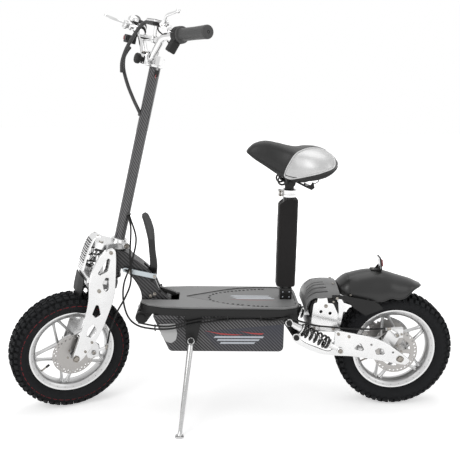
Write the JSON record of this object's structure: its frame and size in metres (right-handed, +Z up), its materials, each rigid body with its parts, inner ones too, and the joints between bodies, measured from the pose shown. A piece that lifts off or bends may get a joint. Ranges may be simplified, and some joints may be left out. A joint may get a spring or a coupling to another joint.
{
  "type": "electric scooter",
  "caption": "Stand-on electric scooter with a saddle on a post, folding steering column, sprung plate fork and swing arm, disc brakes, battery deck, louvred motor hood and side stand.",
  "frame": {"origin": "on the ground midway between the wheel axles, in the scooter's middle plane", "axes": "+X to the rear, +Y to the rider's right, +Z up; the front wheel is steered to the left"},
  "size_m": [1.3752, 0.5496, 1.1991],
  "materials": {
    "carbon": "dark carbon-weave film under a satin clear coat",
    "black_paint": "satin black paint",
    "black_plastic": "fine-grained black moulding",
    "black_rubber": "matt moulded rubber",
    "tyre": "matt black tyre rubber",
    "aluminium": "polished plate",
    "cast": "silver casting",
    "chrome": "bright chrome",
    "steel": "ground steel",
    "deck": "silver-grey grip surface",
    "vinyl": "black vinyl with silver sides and white piping",
    "foam": "closed-cell foam",
    "battery": "matt case",
    "spring": "black-coated wire"
  },
  "bodies": {
    "frame": {"chassis": "black_paint", "deck_panel": "deck", "battery_box": "carbon", "battery_pack": "battery", "seat_tube": "black_paint", "post_pad": "foam", "rear_brake_cable": "black_plastic"},
    "neck": {"neck": "carbon"},
    "fold_lever": {"fold_lever": "black_rubber"},
    "lever_link": {"lever_link": "aluminium"},
    "latch": {"latch_bar": "black_paint"},
    "steering": {"fork_crown": "cast", "column": "carbon", "handlebar": "chrome", "right_grip": "black_rubber", "display": "black_plastic", "switch_block": "black_plastic", "bell": "chrome", "throttle_housing": "black_plastic", "front_cover": "aluminium", "fork_spring_left": "spring", "fork_spring_right": "spring", "harness_left": "black_plastic", "harness_right": "black_plastic", "front_brake_cable": "black_plastic"},
    "key": {"ignition_key": "black_plastic"},
    "throttle": {"throttle_grip": "black_rubber"},
    "brake_lever_left": {"brake_lever_left": "chrome"},
    "brake_lever_right": {"brake_lever_right": "chrome"},
    "fork": {"fork_leg_left": "aluminium", "fork_leg_right": "aluminium", "fork_bridge": "cast", "front_mudguard": "black_plastic", "front_caliper": "cast", "front_axle": "steel"},
    "front_wheel": {"front_tyre": "tyre", "front_rim": "cast", "front_disc": "steel"},
    "swing": {"swing_arm": "aluminium", "rear_axle": "steel", "motor": "black_paint", "motor_cover": "black_plastic", "rear_fender": "black_plastic", "tail_reflector": "black_plastic", "rear_caliper": "cast", "chain": "steel"},
    "rear_wheel": {"rear_tyre": "tyre", "rear_rim": "cast", "rear_disc": "steel", "rear_sprocket": "steel"},
    "motor_shaft": {"motor_pinion": "steel"},
    "kickstand": {"kickstand": "chrome"},
    "seat": {"seat_post": "black_paint", "saddle": "vinyl"},
    "shock_left": {"shock_body_left": "aluminium", "shock_spring_left": "spring"},
    "shock_right": {"shock_body_right": "aluminium", "shock_spring_right": "spring"},
    "shock_rod_left": {"shock_rod_left": "chrome"},
    "shock_rod_right": {"shock_rod_right": "chrome"}
  },
  "joints": [
    {"name": "neck_fold", "type": "hinge", "parent": "frame", "child": "neck", "pos_m": [-0.281, 0, 0.291], "axis": [0, 1, 0], "range_deg": [0, 18], "deforming": ["rear_brake_cable"]},
    {"name": "fold_lever", "type": "hinge", "parent": "neck", "child": "fold_lever", "pos_m": [-0.25, 0, 0.406], "axis": [0, 1, 0], "range_deg": [0, 35], "stiffness_Nm_per_rad": 2, "springref_deg": -20.05},
    {"name": "lever_link", "type": "hinge", "parent": "fold_lever", "child": "lever_link", "pos_m": [-0.2415, 0, 0.4225], "axis": [0, 1, 0], "range_deg": [-32, 1]},
    {"name": "latch", "type": "hinge", "parent": "neck", "child": "latch", "pos_m": [-0.226, 0, 0.372], "axis": [0, 1, 0], "range_deg": [-60, 0]},
    {"name": "steer", "type": "hinge", "parent": "neck", "child": "steering", "pos_m": [-0.4657, 0, 0], "axis": [0.213, 0, 0.977], "range_deg": [-59.1, 10.9], "deforming": ["rear_brake_cable"]},
    {"name": "key_turn", "type": "hinge", "parent": "steering", "child": "key", "pos_m": [-0.2275, -0.05237, 1.04423], "axis": [0.213, 0, 0.977], "range_deg": [0, 90]},
    {"name": "throttle_twist", "type": "hinge", "parent": "steering", "child": "throttle", "pos_m": [-0.08843, -0.26064, 1.13161], "axis": [-0.5812, 0.8125, -0.0453], "range_deg": [0, 60], "stiffness_Nm_per_rad": 0.3, "springref_deg": -17.19},
    {"name": "brake_lever_left", "type": "hinge", "parent": "steering", "child": "brake_lever_left", "pos_m": [-0.20411, -0.13603, 1.1558], "axis": [0.6154, 0.5846, 0.5287], "range_deg": [0, 20], "stiffness_Nm_per_rad": 2, "springref_deg": -17.19},
    {"name": "brake_lever_right", "type": "hinge", "parent": "steering", "child": "brake_lever_right", "pos_m": [-0.33203, 0.09009, 1.1622], "axis": [-0.4107, 0.1764, -0.8945], "range_deg": [0, 20], "stiffness_Nm_per_rad": 2, "springref_deg": -17.19},
    {"name": "fork_slide", "type": "slide", "parent": "steering", "child": "fork", "axis": [0.213, 0, 0.977], "range_m": [0, 0.02], "stiffness_N_per_m": 6000, "springref_m": -0.06, "deforming": ["fork_spring_left", "fork_spring_right", "front_brake_cable"]},
    {"name": "front_wheel_spin", "type": "hinge", "parent": "fork", "child": "front_wheel", "pos_m": [-0.50333, -0.0341, 0.18522], "axis": [-0.399, 0.9128, 0.087], "continuous": true},
    {"name": "swing", "type": "hinge", "parent": "frame", "child": "swing", "pos_m": [0.19, 0, 0.252], "axis": [0, -1, 0], "range_deg": [0, 4.5], "stiffness_Nm_per_rad": 600, "springref_deg": -8.59, "deforming": ["rear_brake_cable"]},
    {"name": "rear_wheel_spin", "type": "hinge", "parent": "swing", "child": "rear_wheel", "pos_m": [0.511, 0, 0.184], "axis": [0, 1, 0], "continuous": true},
    {"name": "motor_shaft_spin", "type": "hinge", "parent": "swing", "child": "motor_shaft", "pos_m": [0.277, 0, 0.327], "axis": [0, 1, 0], "continuous": true},
    {"name": "kickstand_swing", "type": "hinge", "parent": "frame", "child": "kickstand", "pos_m": [-0.128, -0.119, 0.245], "axis": [0, -0.8878, 0.4602], "range_deg": [0, 88]},
    {"name": "seat_height", "type": "slide", "parent": "frame", "child": "seat", "axis": [0, 0, 1], "range_m": [0, 0.1]},
    {"name": "shock_left_pivot", "type": "hinge", "parent": "frame", "child": "shock_left", "pos_m": [0.166, -0.0985, 0.3], "axis": [0, -1, 0], "range_deg": [0, 3.6]},
    {"name": "shock_left_travel", "type": "slide", "parent": "shock_left", "child": "shock_rod_left", "axis": [0.8726, 0, -0.4884], "range_m": [-0.003, 0], "deforming": ["shock_spring_left"]},
    {"name": "shock_right_pivot", "type": "hinge", "parent": "frame", "child": "shock_right", "pos_m": [0.166, 0.0985, 0.3], "axis": [0, -1, 0], "range_deg": [0, 3.6]},
    {"name": "shock_right_travel", "type": "slide", "parent": "shock_right", "child": "shock_rod_right", "axis": [0.8726, 0, -0.4884], "range_m": [-0.003, 0], "deforming": ["shock_spring_right"]}
  ],
  "couplings": [
    {"joint": "lever_link", "follows": "fold_lever", "ratio": -0.883},
    {"joint": "motor_shaft_spin", "follows": "rear_wheel_spin", "ratio": 4.5},
    {"joint": "shock_left_pivot", "follows": "swing", "ratio": 0.76},
    {"joint": "shock_left_travel", "follows": "swing", "m_per_rad": -0.0314},
    {"joint": "shock_right_pivot", "follows": "swing", "ratio": 0.76},
    {"joint": "shock_right_travel", "follows": "swing", "m_per_rad": -0.0314}
  ]
}
